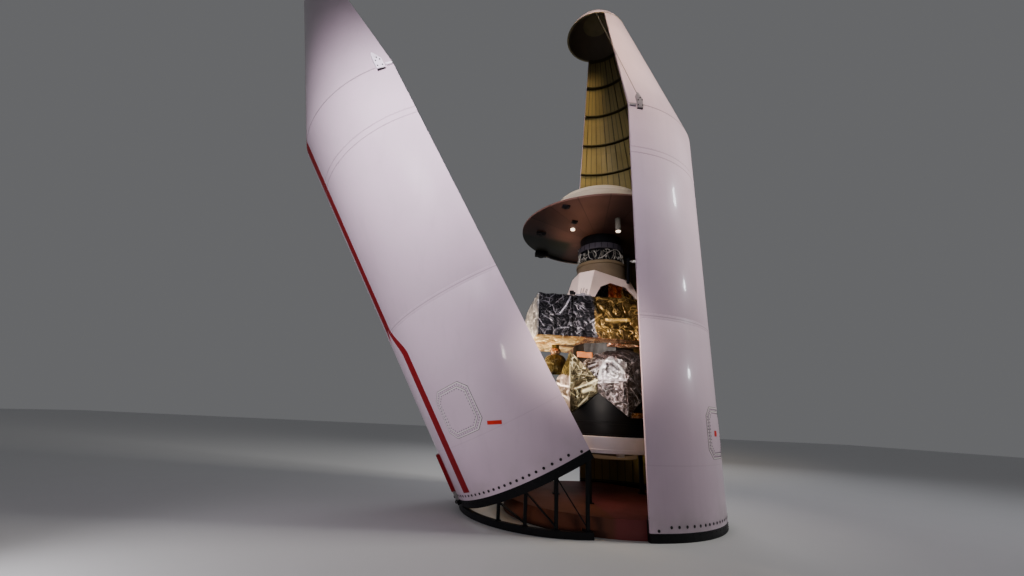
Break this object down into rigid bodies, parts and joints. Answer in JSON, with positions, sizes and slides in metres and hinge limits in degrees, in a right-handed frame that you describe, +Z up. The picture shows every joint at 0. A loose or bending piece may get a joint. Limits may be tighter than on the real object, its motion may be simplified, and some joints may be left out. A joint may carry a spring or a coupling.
{
  "type": "rocket payload fairing",
  "caption": "Rocket payload fairing opened on its stand: an upright half with the round nose cap and a half tilted outward on its hinge, around a foil-wrapped spacecraft with a dish.",
  "frame": {"origin": "on the floor, on the axis of the upright right half, at the underside of the podium", "axes": "+Z up; +X the way the right half swings open; the open side that shows the spacecraft faces -Y"},
  "size_m": [9.4032, 4.4824, 12.0616],
  "materials": {
    "black_foil": "crinkled dark foil blanket",
    "black_paint": "satin black paint",
    "dish_brown": "dark brown carbon skin",
    "gold_foil": "crinkled gold foil blanket",
    "khaki_paint": "dull khaki paint",
    "red_floor": "dull red-brown floor covering",
    "silver_foil": "crinkled silver foil blanket",
    "steel": "bare machined metal",
    "white_paint": "gloss white paint, yellow-green primer on the inner side of the shells"
  },
  "bodies": {
    "display": {"right_base_ring": "black_paint", "left_floor_ring": "black_paint", "left_wedge_frame": "black_paint", "payload_adapter": "black_paint", "neck": "black_paint", "podium": "red_floor", "payload_stand_leg_1": "black_paint", "payload_stand_leg_2": "black_paint", "payload_stand_leg_3": "black_paint", "payload_stand_leg_4": "black_paint", "payload_stand_hub": "khaki_paint", "payload_stand_ring": "white_paint", "propulsion_bay": "black_foil", "lower_blanket_1": "gold_foil", "lower_blanket_2": "silver_foil", "lower_blanket_3": "silver_foil", "lower_blanket_4": "black_foil", "lower_blanket_5": "gold_foil", "lower_blanket_6": "silver_foil", "rounded_blanket": "silver_foil", "thruster": "gold_foil", "equipment_box": "black_foil", "tower": "white_paint", "drum": "khaki_paint", "dish": "dish_brown", "dish_cover": "white_paint"},
    "left_half": {"left_lower_shell": "white_paint", "left_upper_shell": "white_paint", "left_cone_shell": "white_paint", "left_access_door": "white_paint", "left_hinge_lug_1": "steel", "left_edge_bracket_1": "steel", "left_hinge_lug_2": "steel", "left_edge_bracket_2": "steel"},
    "right_half": {"right_lower_shell": "white_paint", "right_upper_shell": "white_paint", "right_cone_shell": "white_paint", "right_access_door": "white_paint", "right_hinge_lug_1": "steel", "right_edge_bracket_1": "steel", "right_hinge_lug_2": "steel", "right_edge_bracket_2": "steel", "right_nose_cap": "white_paint"}
  },
  "joints": [
    {"name": "left_half_hinge", "type": "hinge", "parent": "display", "child": "left_half", "pos_m": [-2.8048, -0.0952, 0.1561], "axis": [0.0924, -0.9957, 0], "range_deg": [0, 30]},
    {"name": "right_half_hinge", "type": "hinge", "parent": "display", "child": "right_half", "pos_m": [2.07, 0, 0.109], "axis": [0, 1, 0], "range_deg": [0, 60]}
  ]
}
